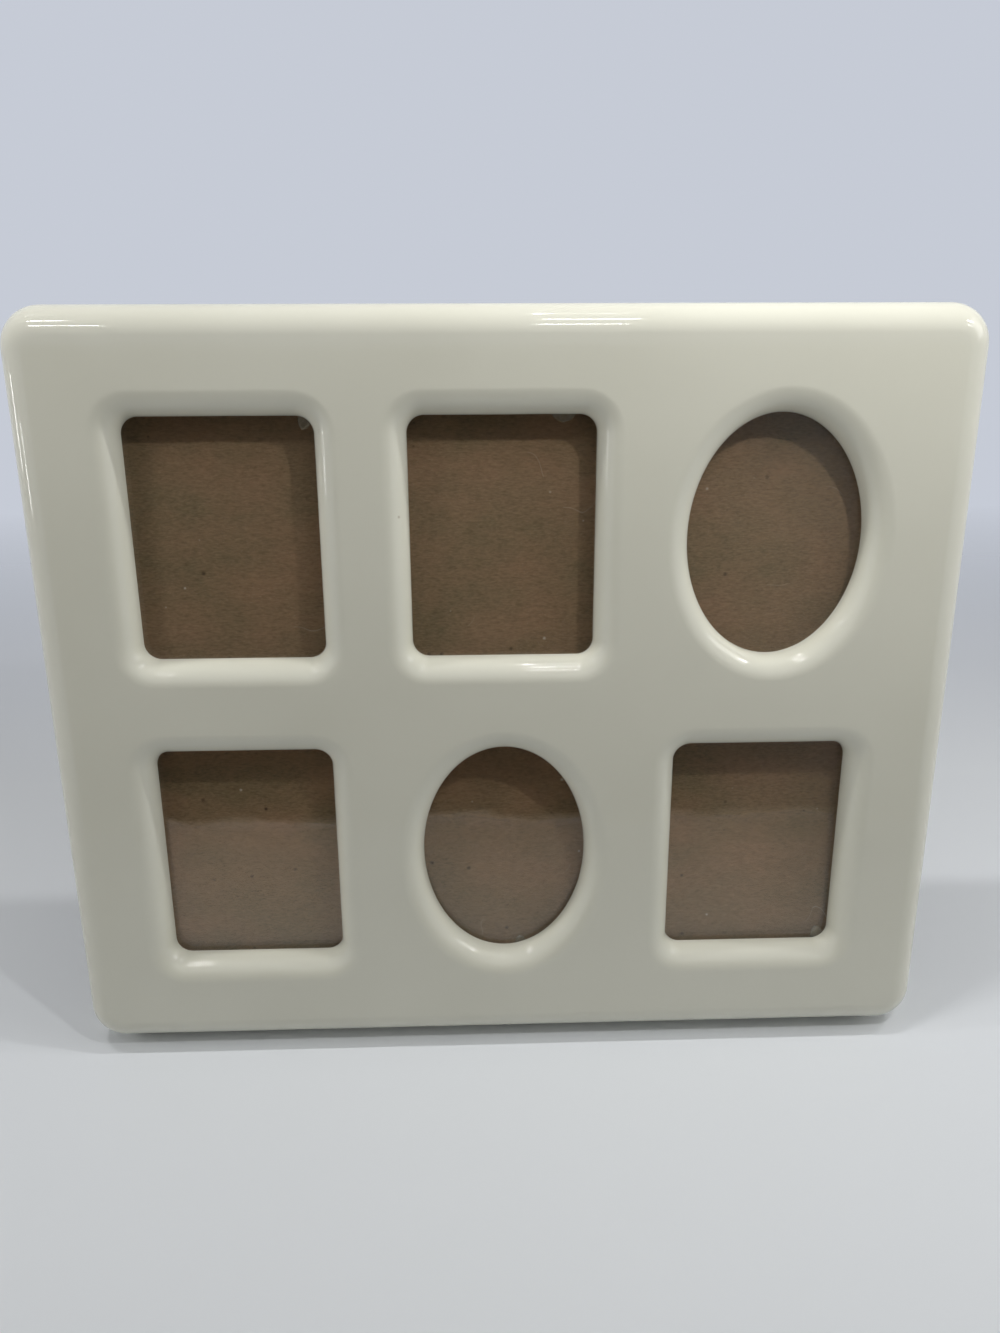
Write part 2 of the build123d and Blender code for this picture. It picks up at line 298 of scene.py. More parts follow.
# Painted warm light, only on rays that pass through or off the glass
painted_warmth = add_sum(tree, "MULTIPLY", mirrored, add_range(tree, forwards, *painted_warmth_front))
floor_colour = add_tint(tree, painted_warmth, floor_paint, floor_painted_warm_light)
painted_glow = add_sum(tree, "MULTIPLY", painted_warmth, add_range(tree, apart["X"], *painted_glow_side, *painted_glow_share))
sheet = add_node(
    tree, "ShaderNodeBsdfPrincipled", Base_Color=floor_colour, Roughness=0.6,
    Emission_Color=painted_floor_glow, Emission_Strength=painted_glow,
)
clear = add_node(tree, "ShaderNodeBsdfTransparent")
add_blend(tree, output, faded, sheet, clear)
floor.data.materials.append(floor_material)
print("floor:", 2 * floor_half_width, "m wide")

# %% Dark card that only reflections see
card_black = paint(0.03, 0.03, 0.032)
card_grey = paint(0.78, 0.80, 0.82)
grey_side = (0.14, 0.30)
grey_rise = (0.22, 0.36)
grey_share = (0.45, 1.0)
card_fade = 7 * mm
card_distance = 0.505
card_half_width = 0.44
card_height = 0.415

card_corners = [
    (-card_half_width, -card_distance, 0), (card_half_width, -card_distance, 0),
    (card_half_width, -card_distance, card_height), (-card_half_width, -card_distance, card_height),
]
dark_card = add_sheet("dark_card", card_corners)
card_material, tree, output = new_material("dark_card")
apart = stage_place(tree)
darkness = add_range(tree, apart["Z"], 0.0, card_fade)
greyness = add_range(tree, apart["Z"], *grey_rise, *grey_share)
greyness = add_sum(tree, "MULTIPLY", greyness, add_range(tree, apart["X"], *grey_side))
# The card's foot takes the floor's painted warm light, so that the two meet in the reflections
card_colour = add_tint(tree, darkness, floor_painted_warm_light, add_tint(tree, greyness, card_black, card_grey))
card_cloth = add_node(tree, "ShaderNodeBsdfDiffuse", Color=card_colour)
tree.links.new(card_cloth.outputs[0], output.inputs["Surface"])
dark_card.data.materials.append(card_material)
dark_card.visible_camera = False
print("dark card:", card_distance, "m in front")

# %% [markdown]
# Lamps
#
# One large soft lamp would light the frame, but would leave the glaze without its sharp glints, and lamps
# that are bright enough to glint would light the face too much. So the two jobs are kept apart. One set of
# lamps is seen only in reflections: a short strip for each glint on the top edge, two fainter rows before
# them, two upright strips that draw a line down the left edge, and a soft square at the upper right.
# The other set only lights: a strip over each column, a long roof light, two small keys whose crisp shadows
# fall from the window edges onto the board, a lamp for the bright top right corner, one for each side wall,
# and a weak fill from the front that reaches into the wells.

# %% A helper for lamps
lamp_white = (1.0, 1.0, 0.99)
lamp_aim = Vector((0.0, 0.0, 0.12))


def add_lamp(name, place, size, watts, aim=None, lighting=True, glinting=True):
    """A lamp that may light, glint or do both; it faces a point, or straight down if none is given."""
    light = bpy.data.lights.new(name, "AREA")
    light.shape = "RECTANGLE"
    light.size, light.size_y = size
    light.energy = watts
    light.color = lamp_white
    lamp = bpy.data.objects.new(name, light)
    lamp.location = place
    if aim:
        lamp.rotation_euler = (aim - Vector(place)).to_track_quat("-Z", "X").to_euler()
    lamp.visible_camera = False
    lamp.visible_diffuse = lighting
    lamp.visible_glossy = glinting
    lamp.visible_transmission = glinting
    scene.collection.objects.link(lamp)


print("lamp helper is ready")

# %% Lamps for glints and lamps for light
strip_size = (55 * mm, 9 * mm)
strip_height = 0.46
# Each column's place across and its watts
lighting_depth = 0.035
lighting_strips = {"left": (-0.248, 0.29), "middle": (0.055, 0.29), "right": (0.38, 0.377)}
faint_rows = {"front": -0.155, "middle": -0.06}
faint_watts = 0.06
# Each glint's place across, depth, length and watts
glint_strips = {
    "left": (-0.262, 0.035, 55 * mm, 0.18),
    "middle": (0.047, 0.035, 48 * mm, 0.157),
    "right": (0.345, -0.07, 55 * mm, 0.18),
}
side_strips = {"front": (-0.42, -0.10, 0.215), "rear": (-0.42, 0.0, 0.215)}
side_strip_watts = 0.03
roof_size = (0.5, 0.06)
roof_place = (0.0, -0.03, 0.46)
roof_watts = 0.08
soft_size = (0.25, 0.25)
soft_place = (0.56, -0.07, 0.48)
soft_watts = 0.45
# Each aimed lamp's place, the side of its square and its watts
aimed_lamps = {
    "right_key": ((0.16, -0.15, 0.46), 0.016, 0.31),
    "left_key": ((-0.28, -0.15, 0.46), 0.016, 0.13),
    "corner": ((0.27, -0.10, 0.42), 0.10, 0.13),
    "right_wall": ((0.50, -0.07, 0.20), 0.20, 0.40),
    "left_wall": ((-0.50, -0.12, 0.25), 0.20, 0.46),
    "front_fill": ((0.0, -0.46, 0.30), 0.20, 0.085),
}

for column, (across, watts) in lighting_strips.items():
    place = (across, lighting_depth, strip_height)
    add_lamp(f"strip_light_{column}", place, strip_size, watts, glinting=False)
    for row, depth in faint_rows.items():
        place = (across, depth, strip_height)
        add_lamp(f"strip_{row}_{column}", place, strip_size, faint_watts, lighting=False)
for column, (across, depth, length, watts) in glint_strips.items():
    place = (across, depth, strip_height)
    add_lamp(f"strip_glint_{column}", place, (length, strip_size[1]), watts, lighting=False)
for side, place in side_strips.items():
    add_lamp(f"side_strip_{side}", place, strip_size, side_strip_watts, lamp_aim, lighting=False)
add_lamp("soft_wall", soft_place, soft_size, soft_watts, lamp_aim, lighting=False)
add_lamp("roof_light", roof_place, roof_size, roof_watts, glinting=False)
for name, (place, size, watts) in aimed_lamps.items():
    add_lamp(f"{name}_light", place, (size, size), watts, lamp_aim, glinting=False)
print("lamps:", len(bpy.data.lights))

# %% [markdown]
# Shared surface effects
#
# Several finishes need the same thing: scattered specks, a drawn-out fibre, stray hairs or soft uneven
# patches. Each is a node group, built once and placed in every material that needs it with its own numbers.
# A group only hands out a value, and the material decides what the value does.

# %% Specks
noise_span = (0.3, 0.7)
noise_middle = 0.5


def new_group(name, inputs):
    """A shader group with number inputs and one output called Mask."""
    group = bpy.data.node_groups.new(name, "ShaderNodeTree")
    group.interface.new_socket("Vector", in_out="INPUT", socket_type="NodeSocketVector")
    for label, value in inputs.items():
        socket = group.interface.new_socket(label, in_out="INPUT", socket_type="NodeSocketFloat")
        socket.default_value = value
    group.interface.new_socket("Mask", in_out="OUTPUT", socket_type="NodeSocketFloat")
    return group, group.nodes.new("NodeGroupInput").outputs, group.nodes.new("NodeGroupOutput").inputs


speck_group, given, wanted = new_group("Scattered specks", {"Scale": 200.0, "Share": 0.3, "Size": 0.3})
cells = add_node(speck_group, "ShaderNodeTexVoronoi", Vector=given["Vector"], Scale=given["Scale"])
chance = add_node(speck_group, "ShaderNodeSeparateColor", Color=cells.outputs["Color"])
chosen = add_sum(speck_group, "LESS_THAN", chance.outputs["Red"], given["Share"])
reach = add_sum(speck_group, "MULTIPLY", given["Size"], chance.outputs["Green"])
round_spot = add_range(speck_group, cells.outputs["Distance"], 0.0, reach, 1.0, 0.0)
speck_group.links.new(add_sum(speck_group, "MULTIPLY", chosen, round_spot), wanted["Mask"])
print("effect:", speck_group.name)

# %% Fibre, hairs and patches
fibre_group, given, wanted = new_group("Drawn fibre", {"Fineness": 2500.0, "Stretch": 0.12, "Detail": 4.0})
stretch = add_node(fibre_group, "ShaderNodeCombineXYZ", X=given["Stretch"], Y=1.0, Z=1.0)
drawn = add_vector_sum(fibre_group, "MULTIPLY", given["Vector"], stretch.outputs[0], "Vector")
strands = add_node(fibre_group, "ShaderNodeTexNoise", Vector=drawn, Scale=given["Fineness"])
put(fibre_group, strands.inputs["Detail"], given["Detail"])
fibre_group.links.new(strands.outputs["Fac"], wanted["Mask"])

hair_group, given, wanted = new_group("Stray hairs", {"Scale": 40.0, "Thickness": 0.005, "Share": 0.55})
path = add_node(hair_group, "ShaderNodeTexNoise", Vector=given["Vector"], Scale=given["Scale"], Detail=0.5)
away = add_sum(hair_group, "ABSOLUTE", add_sum(hair_group, "SUBTRACT", path.outputs["Fac"], noise_middle))
line = add_range(hair_group, away, 0.0, given["Thickness"], 1.0, 0.0)
region = add_node(hair_group, "ShaderNodeTexNoise", Vector=given["Vector"], Scale=given["Scale"], Detail=0.0)
kept = add_sum(hair_group, "GREATER_THAN", region.outputs["Color"], given["Share"])
hair_group.links.new(add_sum(hair_group, "MULTIPLY", line, kept), wanted["Mask"])

patch_group, given, wanted = new_group("Soft patches", {"Scale": 30.0, "Detail": 2.0})
clouds = add_node(patch_group, "ShaderNodeTexNoise", Vector=given["Vector"], Scale=given["Scale"])
put(patch_group, clouds.inputs["Detail"], given["Detail"])
patch_group.links.new(add_range(patch_group, clouds.outputs["Fac"], *noise_span), wanted["Mask"])
print("effects:", fibre_group.name, hair_group.name, patch_group.name)

# %% Helpers that place effects and surfaces
def add_effect(tree, group, vector, **values):
    """One shared effect in a material, with its own numbers; gives its mask."""
    made = tree.nodes.new("ShaderNodeGroup")
    made.node_tree = group
    put(tree, made.inputs["Vector"], vector)
    for label, value in values.items():
        put(tree, made.inputs[label], value)
    return made.outputs["Mask"]


def object_place(tree):
    return tree.nodes.new("ShaderNodeTexCoord").outputs["Object"]


def add_bump(tree, height, distance, **sockets):
    """A normal from a height; the distance is how far the surface really rises, in metres."""
    made = add_node(tree, "ShaderNodeBump", Height=height, Distance=distance, Strength=1.0, **sockets)
    return made.outputs["Normal"]


def add_surface(tree, output, **sockets):
    """The principled shader of a material, joined to its output."""
    made = add_node(tree, "ShaderNodeBsdfPrincipled", **sockets)
    tree.links.new(made.outputs[0], output.inputs["Surface"])


print("surface helpers are ready")

# %% [markdown]
# Cream glaze and bare biscuit
#
# A glaze is a skin of coloured glass on fired clay. It is smooth and sharp in its reflections, but never
# quite flat: it flows in the kiln and leaves long shallow waves. A plain white plastic would look stiff,
# so the waves are a faint bump, the cream varies by a few hundredths, and a few pinholes break the gloss.
# On the back rim, where the casting stood in the kiln, the clay is bare and matt.

# %% Glaze material
glaze_thin = paint(0.735, 0.723, 0.614)
glaze_thick = paint(0.765, 0.753, 0.644)
pinhole_brown = paint(0.42, 0.36, 0.25)
glaze_roughness = (0.035, 0.06)
wave_height = 0.02 * mm

glaze_material, tree, output = new_material("cream_glaze")
place = object_place(tree)
depth_of_glaze = add_effect(tree, patch_group, place, Scale=18.0, Detail=2.0)
pinholes = add_effect(tree, speck_group, place, Scale=90.0, Share=0.05, Size=0.06)
waves = add_effect(tree, patch_group, place, Scale=42.0, Detail=1.0)
cream = add_tint(tree, depth_of_glaze, glaze_thin, glaze_thick)
cream = add_tint(tree, pinholes, cream, pinhole_brown)
gloss = add_range(tree, depth_of_glaze, 0.0, 1.0, *glaze_roughness)
add_surface(
    tree, output, Base_Color=cream, Roughness=gloss, IOR=1.52,
    Normal=add_bump(tree, waves, wave_height),
)
print("glaze is ready")

# %% Biscuit material
clay_stained = paint(0.66, 0.61, 0.52)
clay_clean = paint(0.74, 0.70, 0.62)
grit_height = 0.05 * mm

biscuit_material, tree, output = new_material("bare_biscuit")
place = object_place(tree)
grit = add_effect(tree, patch_group, place, Scale=1500.0, Detail=3.0)
stain = add_effect(tree, patch_group, place, Scale=60.0, Detail=3.0)
clay = add_tint(tree, stain, clay_stained, clay_clean)
add_surface(tree, output, Base_Color=clay, Roughness=0.85, Normal=add_bump(tree, grit, grit_height))
print("biscuit is ready")

# %% [markdown]
# The casting
#
# On the real frame the casting is poured in a mould, so it has no sharp edge: the outside rolls over in a
# large round, and each window has a smaller one. A boolean cut with bevels would do it, but leaves uneven
# triangles that show in a glossy glaze. Here each edge is swept instead: an outline is repeated at a row of
# offsets and depths, which gives even strips, and only the flat parts are filled with triangles.

# %% Outlines with their outward ways
corner_steps = 20
oval_steps = 96
no_less = 1e-9


def rounded_outline(width, height, radius, steps=corner_steps):
    """Points of a rounded rectangle, each as (x, z, outward x, outward z)."""
    points = []
    centres = ((1, 1), (-1, 1), (-1, -1), (1, -1))
    for quarter, (side, end) in enumerate(centres):
        middle = (side * (width / 2 - radius), end * (height / 2 - radius))
        for step in range(steps + 1):
            angle = math.pi / 2 * (quarter + step / steps)
            way = (math.cos(angle), math.sin(angle))
            points.append((middle[0] + radius * way[0], middle[1] + radius * way[1], *way))
    return points


def oval_outline(width, height, steps=oval_steps):
    """Points of an ellipse, each as (x, z, outward x, outward z)."""
    points = []
    for step in range(steps):
        angle = 2 * math.pi * step / steps
        way = Vector((math.cos(angle) / width, math.sin(angle) / height)).normalized()
        points.append((width / 2 * math.cos(angle), height / 2 * math.sin(angle), way.x, way.y))
    return points


def boxed_outline(outline, width, height):
    """The same points pushed out from the middle to the sides of a rectangle."""
    pushed = []
    for x, z, way_x, way_z in outline:
        grow = min(width / 2 / max(abs(x), no_less), height / 2 / max(abs(z), no_less))
        pushed.append((x * grow, z * grow, way_x, way_z))
    return pushed


print("outlines have", 4 * (corner_steps + 1), "and", oval_steps, "points")

# %% Rings of a swept edge
def add_ring(mesh, outline, middle, offset, depth):
    """One row of points: the outline, moved outwards by offset and back by depth."""
    ring = []
    for x, z, way_x, way_z in outline:
        ring.append(mesh.verts.new((middle[0] + x + way_x * offset, depth, middle[1] + z + way_z * offset)))
    return ring


def add_strips(mesh, rings, material_index=0):
    """Quads from each ring to the next."""
    for ring, following in zip(rings, rings[1:]):
        for index in range(len(ring)):
            after = (index + 1) % len(ring)
            quad = mesh.faces.new((ring[index], ring[after], following[after], following[index]))
            quad.material_index = material_index
            quad.smooth = True


def ring_edges(ring):
    """The edges along a ring that already has its strips."""
    edges = []
    for first, second in zip(ring, ring[1:] + ring[:1]):
        edges.append(next(edge for edge in first.link_edges if second in edge.verts))
    return edges


def add_flat(mesh, rings, material_index=0):
    """Triangles over the flat part between an outer ring and any inner ones."""
    edges = [edge for ring in rings for edge in ring_edges(ring)]
    filled = bmesh.ops.triangle_fill(mesh, use_beauty=True, use_dissolve=False, edges=edges)
    for item in filled["geom"]:
        if isinstance(item, bmesh.types.BMFace):
            item.material_index = material_index
            item.smooth = True


def make_sharp(*rings):
    for ring in rings:
        for edge in ring_edges(ring):
            edge.smooth = False


def quarter_round(radius, steps):
    """(inset, drop) pairs along a rounded edge, from the flat to the wall."""
    turns = [math.pi / 2 * step / steps for step in range(steps + 1)]
    return [(radius * (1 - math.sin(turn)), radius * (1 - math.cos(turn))) for turn in turns]


print("ring helpers are ready")

# %% Helpers that finish a mesh
def add_piece(name, mesh, body, materials, matrix=upright):
    """A finished mesh as a piece of the object, laid on the leaning frame and riding on a body."""
    bmesh.ops.recalc_face_normals(mesh, faces=mesh.faces)
    mesh.transform(matrix)
    data = bpy.data.meshes.new(name)
    mesh.to_mesh(data)
    mesh.free()
    for material in materials:
        data.materials.append(material)
    piece = bpy.data.objects.new(name, data)
    scene.collection.objects.link(piece)
    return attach(piece, body)


def shade_evenly(piece):
    """Lets the large flat faces set the shading, so that the narrow strips beside them blend in."""
    piece.modifiers.new("even_shading", "WEIGHTED_NORMAL").keep_sharp = True


print("mesh helpers are ready")

# %% Sizes of the casting
face_centre = (0, 0)
face_width = cad_high.x - cad_low.x
face_height = 253 * mm
face_corner = 13 * mm
edge_round = 9.5 * mm
back_round = 1.5 * mm
rim_width = 9 * mm
window_size = (60 * mm, 77.75 * mm)
window_corner = 5.5 * mm
column_pitch = 88.75 * mm
row_pitch = 109.75 * mm
window_round = 8 * mm
pane_front = 8.5 * mm
pane_back = 10.5 * mm
pocket_size = (67 * mm, 90.25 * mm)
pocket_corner = 3 * mm
recess_floor = 14 * mm
round_steps = 18
back_steps = 5
windows = {
    f"{row}_{column}": (across * column_pitch, up * row_pitch / 2)
    for row, up in (("top", 1), ("bottom", -1))
    for column, across in (("left", -1), ("middle", 0), ("right", 1))
}
oval_sizes = {"top_right": (57.6 * mm, 78.4 * mm), "bottom_middle": (56.6 * mm, 77.5 * mm)}
print("windows:", ", ".join(windows))

# %% The outside of the casting, swept ring by ring
biscuit_slot = 1

mesh = bmesh.new()
outline = rounded_outline(face_width, face_height, face_corner)
outer = []
for inset, drop in quarter_round(edge_round, round_steps):
    outer.append(add_ring(mesh, outline, face_centre, -inset, drop))
for inset, drop in reversed(quarter_round(back_round, back_steps)):
    outer.append(add_ring(mesh, outline, face_centre, -inset, casting_depth - drop))
back_edge = len(outer) - 1
for depth in (casting_depth, recess_floor):
    outer.append(add_ring(mesh, outline, face_centre, -rim_width, depth))
add_strips(mesh, outer[:back_edge + 1])
add_strips(mesh, outer[back_edge:], biscuit_slot)
make_sharp(outer[-2], outer[-1])
print("outside:", len(outer), "rings")

# %% The windows, their pockets and the flat parts
face_rings = [outer[0]]
floor_rings = [outer[-1]]
for name, middle in windows.items():
    if name in oval_sizes:
        outline = oval_outline(*oval_sizes[name])
        pocket = boxed_outline(outline, *pocket_size)
    else:
        outline = rounded_outline(*window_size, window_corner)
        pocket = rounded_outline(*pocket_size, pocket_corner)
    rings = []
    for inset, drop in quarter_round(window_round, round_steps):
        rings.append(add_ring(mesh, outline, middle, inset, drop))
    rings.append(add_ring(mesh, outline, middle, 0, pane_front))
    add_strips(mesh, rings)
    back_rings = [rings[-1]]
    for depth in (pane_front, recess_floor):
        back_rings.append(add_ring(mesh, pocket, middle, 0, depth))
    add_strips(mesh, back_rings, biscuit_slot)
    make_sharp(*back_rings)
    face_rings.append(rings[0])
    floor_rings.append(back_rings[-1])
add_flat(mesh, face_rings)
add_flat(mesh, floor_rings, biscuit_slot)
casting = add_piece("glazed_casting", mesh, "frame", (glaze_material, biscuit_material))
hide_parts("ceramic_front")
shade_evenly(casting)

low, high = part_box("ceramic_front")
misfits = []
for axis in range(3):
    reached = [corner[axis] for corner in casting.bound_box]
    misfits.append(abs(low[axis] - min(reached)))
    misfits.append(abs(high[axis] - max(reached)))
print("casting:", len(casting.data.polygons), "faces")
print(f"its box lies within {max(misfits) / mm:.3f} mm of the measured one")

# %% [markdown]
# Brown chipboard
#
# Behind the glass shows the raw backing: grey-brown board pressed from waste fibre. It has a fine grain
# drawn out sideways by the paper machine, soft cloudy patches, dark flecks and pale dust. A photo texture
# would do, but the grain can be built: two fine noises drawn out along x are the fibre, and a coarse one
# makes the clouds. The panel behind it, its surround and the leg are hardboard, a little darker and coarser.

# %% Chipboard material
board_dark = paint(0.198, 0.150, 0.082)
board_pale = paint(0.326, 0.201, 0.118)
worn_brown = paint(0.130, 0.086, 0.043)
thread_tan = paint(0.450, 0.310, 0.184)
fleck_brown = paint(0.148, 0.092, 0.051)
dot_black = paint(0.025, 0.017, 0.012)
dust_pale = paint(0.72, 0.66, 0.55)
cloud_span = (0.34, 0.66)
wear_span = (0.35, 0.65)
wear_share = 0.45
thread_share = 0.4
fleck_share = 0.6
hair_share = 0.3
fibre_height = 0.06 * mm

chipboard_material, tree, output = new_material("brown_chipboard")
place = object_place(tree)
fibre = add_effect(tree, fibre_group, place, Fineness=2000.0, Stretch=0.34, Detail=4.0)
streaks = add_effect(tree, fibre_group, place, Fineness=900.0, Stretch=0.4, Detail=6.0)
clouds = add_effect(tree, fibre_group, place, Fineness=58.0, Stretch=0.62, Detail=4.0)
flecks = add_effect(tree, speck_group, place, Scale=160.0, Share=0.10, Size=0.16)
dots = add_effect(tree, speck_group, place, Scale=140.0, Share=0.5, Size=0.16)
dust = add_effect(tree, speck_group, place, Scale=150.0, Share=0.4, Size=0.11)
hairs = add_effect(tree, hair_group, place, Scale=55.0, Thickness=0.003, Share=0.66)
brown = add_tint(tree, add_range(tree, clouds, *cloud_span), board_dark, board_pale)
worn = add_sum(tree, "MULTIPLY", add_range(tree, streaks, *wear_span), wear_share)
brown = add_tint(tree, worn, brown, worn_brown)
threads = add_sum(tree, "MULTIPLY", add_range(tree, fibre, *noise_span), thread_share)
brown = add_tint(tree, threads, brown, thread_tan)
brown = add_tint(tree, add_sum(tree, "MULTIPLY", flecks, fleck_share), brown, fleck_brown)
brown = add_tint(tree, dots, brown, dot_black)
pale = add_sum(tree, "MAXIMUM", dust, add_sum(tree, "MULTIPLY", hairs, hair_share))
brown = add_tint(tree, pale, brown, dust_pale)
add_surface(tree, output, Base_Color=brown, Roughness=0.8, Normal=add_bump(tree, fibre, fibre_height))
print("chipboard is ready")

# %% Hardboard material
hardboard_dark = paint(0.16, 0.095, 0.052)
hardboard_pale = paint(0.30, 0.195, 0.115)
chip_height = 0.08 * mm

hardboard_material, tree, output = new_material("raw_hardboard")
place = object_place(tree)
chips = add_effect(tree, fibre_group, place, Fineness=900.0, Stretch=0.6, Detail=4.0)
board = add_tint(tree, add_range(tree, chips, *noise_span), hardboard_dark, hardboard_pale)
add_surface(tree, output, Base_Color=board, Roughness=0.7, Normal=add_bump(tree, chips, chip_height))


def dress(material, *names):
    """Gives measured pieces a finish through their own material slots."""
    for name in names:
        for holder in frame["nodes"][name].material_slots:
            holder.material = material
    print(material.name, "on", ", ".join(names))


dress(chipboard_material, "backing_board")
dress(hardboard_material, "back_panel", "rear_ring", "easel_leg")

# %% [markdown]
# Picture glass
#
# Each pane is thin clear glass. It mirrors the floor in its lower half and lets the board show through.
# A renderer finds it hard to carry lamplight through real glass, so shadow rays pass a plain clear shader,
# while the eye still sees refraction and reflection. Old smears are a slight change of roughness.

# %% Glass material
glass_tint = paint(0.985, 0.99, 0.985)
glass_shadow = paint(0.92, 0.93, 0.92)
smear_span = (0.45, 0.75)
smear_roughness = (0.0, 0.05)
ripple_height = 0.06 * mm

glass_material, tree, output = new_material("clear_glass")
place = object_place(tree)
smears = add_effect(tree, fibre_group, place, Fineness=60.0, Stretch=0.5, Detail=3.0)
haze = add_range(tree, smears, *smear_span, *smear_roughness)
ripples = add_effect(tree, patch_group, place, Scale=42.0, Detail=1.5)
glass = add_node(
    tree, "ShaderNodeBsdfPrincipled", Base_Color=glass_tint, Roughness=haze, IOR=1.52,
    Transmission_Weight=1.0, Normal=add_bump(tree, ripples, ripple_height),
)
clear = add_node(tree, "ShaderNodeBsdfTransparent", Color=glass_shadow)
rays = add_node(tree, "ShaderNodeLightPath")
add_blend(tree, output, rays.outputs["Is Shadow Ray"], glass, clear)
dress(glass_material, *[f"glass_pane_{name}" for name in windows])

# %% [markdown]
# Black velour
#
# The back is faced with flock: short fibres stood on end in glue. It drinks light when seen straight on
# and glows a little at a glancing angle, which is what the sheen of the shader does. Handling lays the
# fibres over in patches, and each turn-button rubs an arc around its pivot, so the shade drifts softly.

# %% Velour material
nap_dark = paint(0.010, 0.010, 0.011)
nap_pale = paint(0.024, 0.024, 0.026)
rubbed_grey = paint(0.055, 0.054, 0.054)
pile_grey = paint(0.036, 0.036, 0.039)
lint_grey = paint(0.22, 0.21, 0.2)
rub_radius = 10.5 * mm
rub_width = 4 * mm
rub_share = 0.5
pile_share = 0.5
lint_share = 0.4
pile_height = 0.12 * mm

velour_material, tree, output = new_material("black_velour")
place = object_place(tree)
pile = add_effect(tree, patch_group, place, Scale=3500.0, Detail=2.0)
rubbed = add_effect(tree, patch_group, place, Scale=45.0, Detail=3.0)
lint = add_effect(tree, speck_group, place, Scale=120.0, Share=0.06, Size=0.07)
hairs = add_effect(tree, hair_group, place, Scale=60.0, Thickness=0.004, Share=0.64)
swept = 0.0
for joint in button_joints:
    span = add_vector_sum(tree, "DISTANCE", place, Vector(joint["pos_m"]), "Value")
    off = add_sum(tree, "ABSOLUTE", add_sum(tree, "SUBTRACT", span, rub_radius))
    swept = add_sum(tree, "MAXIMUM", swept, add_range(tree, off, 0.0, rub_width, 1.0, 0.0))
nap = add_tint(tree, rubbed, nap_dark, nap_pale)
nap = add_tint(tree, add_sum(tree, "MULTIPLY", swept, rub_share), nap, rubbed_grey)
nap = add_tint(tree, add_sum(tree, "MULTIPLY", pile, pile_share), nap, pile_grey)
stray = add_sum(tree, "MAXIMUM", lint, add_sum(tree, "MULTIPLY", hairs, lint_share))
nap = add_tint(tree, stray, nap, lint_grey)
add_surface(
    tree, output, Base_Color=nap, Roughness=0.95, Sheen_Weight=0.35, Sheen_Roughness=0.45,
    Normal=add_bump(tree, pile, pile_height),
)
print("velour with", len(button_joints), "rubbed arcs")

# %% [markdown]
# Flocked facings
#
# The flock lies on the back panel, on its surround and on both sides of the leg, a little over half a
# millimetre thick with its glue. A sheet with sharp edges would look like card. At a cut edge the fibres
# splay, so each facing is swept with a rolled edge, right where the measured facing lies, and keeps that
# facing's rivet holes. The leg is drawn folded flat, swung open on its hinge, and cut level with the floor.

# %% Helpers for facings
flock_thickness = 0.6 * mm
flock_roll = 0.4 * mm
roll_steps = 4
hole_steps = 24
solid = 1
hole = -1


def hole_outline(radius):
    return oval_outline(2 * radius, 2 * radius, hole_steps)


def add_facing(mesh, boundaries, glued, pile):
    """A sheet from its glued depth to its pile depth; each boundary is (outline, middle, solid or hole)."""
    inwards = 1 if glued > pile else -1
    pile_rings = []
    glued_rings = []
    for outline, middle, side in boundaries:
        rings = []
        for inset, drop in quarter_round(flock_roll, roll_steps):
            rings.append(add_ring(mesh, outline, middle, -side * inset, pile + inwards * drop))
        rings.append(add_ring(mesh, outline, middle, 0, glued))
        add_strips(mesh, rings)
        make_sharp(rings[-1])
        pile_rings.append(rings[0])
        glued_rings.append(rings[-1])
    add_flat(mesh, pile_rings)
    add_flat(mesh, glued_rings)


def finish_flock(name, mesh, body, node, matrix):
    """A facing as a piece of the object, in place of a measured one."""
    piece = add_piece(name, mesh, body, (velour_material,), matrix)
    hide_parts(node)
    shade_evenly(piece)
    print(name, len(piece.data.polygons), "faces")


print("facing helpers are ready")

# %% Facings of the panel and its surround
ring_gap = 0.5 * mm
ring_width = 17 * mm
ring_corner = 4 * mm
panel_gap = 0.75 * mm
panel_corner = 4 * mm
rivet_hole = 1.55 * mm
hanger_hole = 1.05 * mm
hanger_spacing = 38 * mm
leaf_spacing = 22 * mm
panel_leaf_rise = 14 * mm
drawing = upright.inverted()
hinge_place = drawing @ Vector(pivots["easel"]["pos_m"])
ring_outside = (face_width - 2 * (rim_width + ring_gap), face_height - 2 * (rim_width + ring_gap))
ring_inside = tuple(side - 2 * ring_width for side in ring_outside)
panel_size = tuple(side - 2 * panel_gap for side in ring_inside)
hanger_height = (ring_outside[1] - ring_width) / 2

mesh = bmesh.new()
edges = [(rounded_outline(*panel_size, panel_corner), face_centre, solid)]
for side in (-leaf_spacing / 2, leaf_spacing / 2):
    edges.append((hole_outline(rivet_hole), (side, hinge_place.z + panel_leaf_rise), hole))
add_facing(mesh, edges, casting_depth - flock_thickness, casting_depth)
finish_flock("flocked_panel", mesh, "frame", "panel_velour", upright)

mesh = bmesh.new()
edges = [(rounded_outline(*ring_outside, ring_corner), face_centre, solid)]
edges.append((rounded_outline(*ring_inside, panel_corner), face_centre, hole))
for joint in button_joints:
    pivot = drawing @ Vector(joint["pos_m"])
    edges.append((hole_outline(rivet_hole), (pivot.x, pivot.z), hole))
for side in (-hanger_spacing / 2, hanger_spacing / 2):
    edges.append((hole_outline(hanger_hole), (side, hanger_height), hole))
add_facing(mesh, edges, casting_depth - flock_thickness, casting_depth)
finish_flock("flocked_surround", mesh, "frame", "ring_velour", upright)

